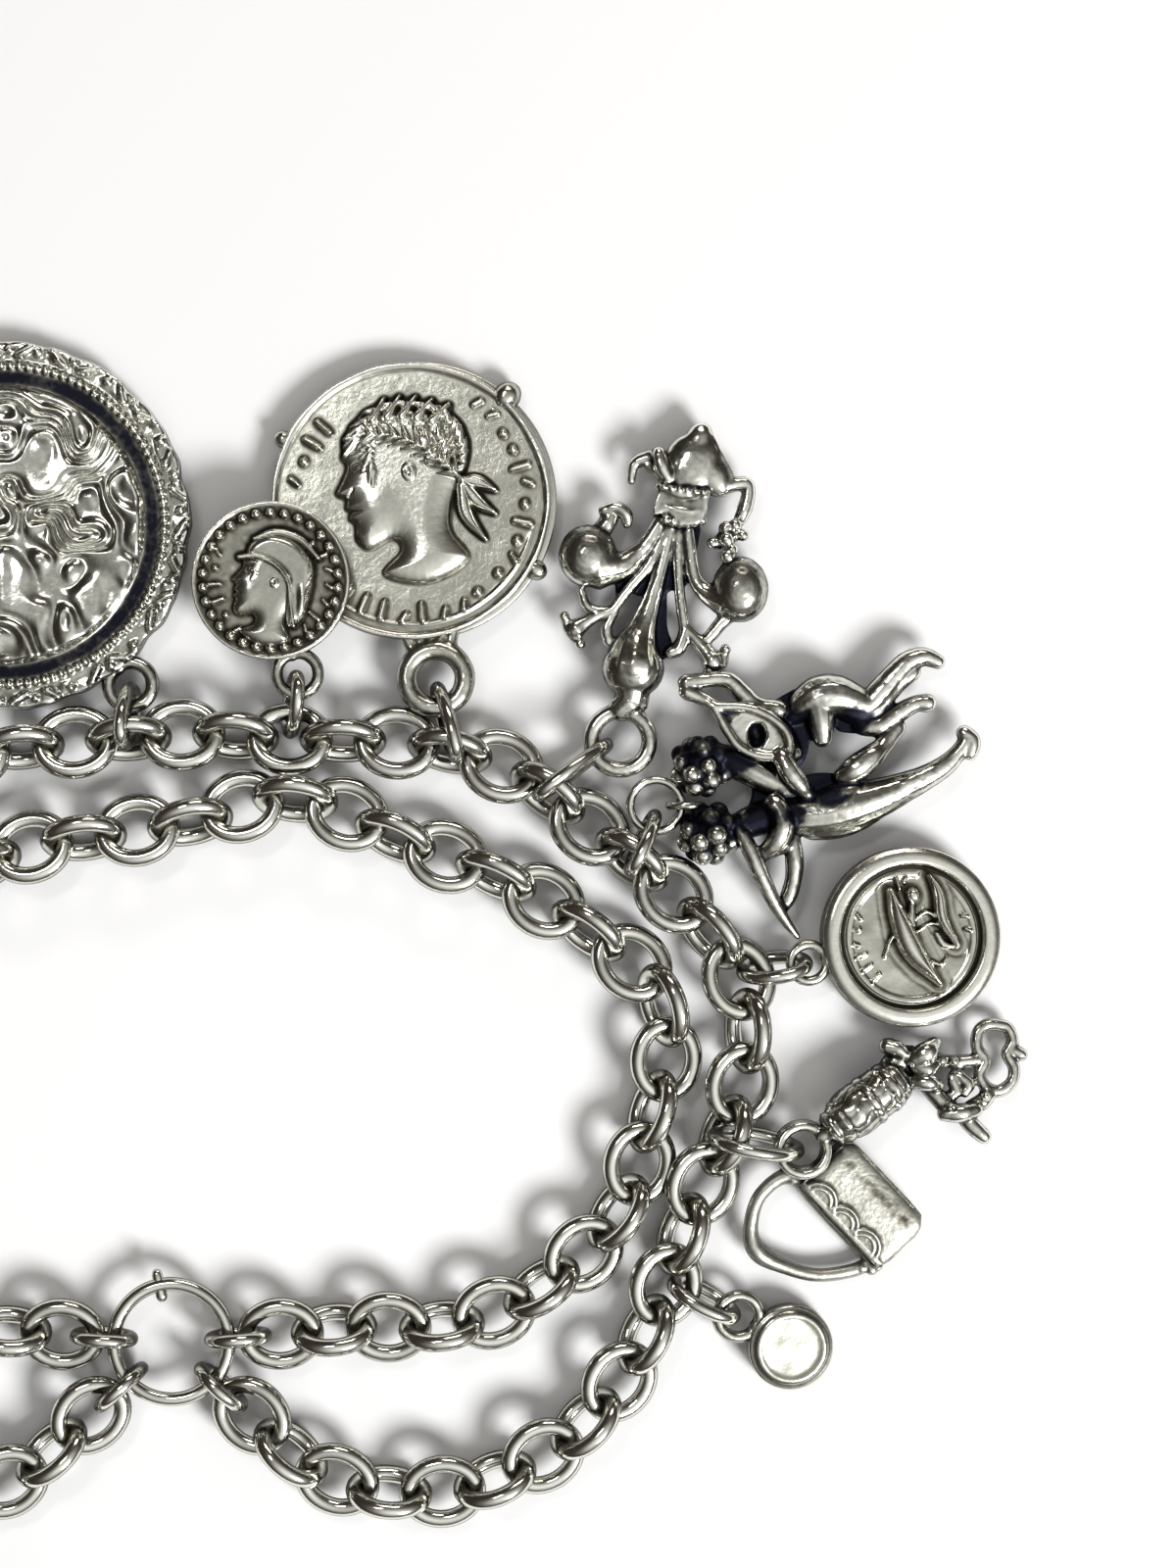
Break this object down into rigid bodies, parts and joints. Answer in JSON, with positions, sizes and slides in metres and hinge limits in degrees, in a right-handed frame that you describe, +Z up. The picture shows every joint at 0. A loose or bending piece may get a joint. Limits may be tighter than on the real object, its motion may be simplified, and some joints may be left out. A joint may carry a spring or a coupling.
{
  "type": "two-row silver charm bracelet",
  "caption": "Bracelet of two rows of oval links on one ring clasp, hung with coins, a medallion, a lily, cherubs, a roundel, a barrel finial and a handbag",
  "frame": {"origin": "on the table under the middle of the laid-out bracelet's bounding box", "axes": "+Z up from the table, +Y to the top of the picture, +X to its right"},
  "size_m": [0.1116, 0.0948, 0.0074],
  "materials": {
    "chain_silver": "polished silver-tone metal with dark reflections",
    "cast_silver": "antiqued cast silver-tone metal, black in the recesses"
  },
  "bodies": {
    "root": {"inner_chain": "chain_silver", "outer_chain": "chain_silver", "clasp": "chain_silver", "end_ring_inner_left": "chain_silver", "end_ring_inner_right": "chain_silver", "end_ring_outer_left": "chain_silver", "end_ring_outer_right": "chain_silver", "medallion_jump_ring": "chain_silver", "small_coin_jump_ring": "chain_silver", "large_coin_jump_ring": "chain_silver", "roundel_jump_ring": "chain_silver", "drop_jump_ring": "chain_silver", "lily_jump_ring": "chain_silver", "cherubs_jump_ring": "chain_silver", "cherubs_thin_ring": "chain_silver", "handbag_jump_ring": "chain_silver", "medallion": "cast_silver", "small_coin": "cast_silver", "large_coin": "cast_silver", "roundel": "cast_silver", "drop": "cast_silver", "lily": "cast_silver", "cherubs": "cast_silver", "handbag": "cast_silver", "barrel": "cast_silver"}
  },
  "joints": []
}
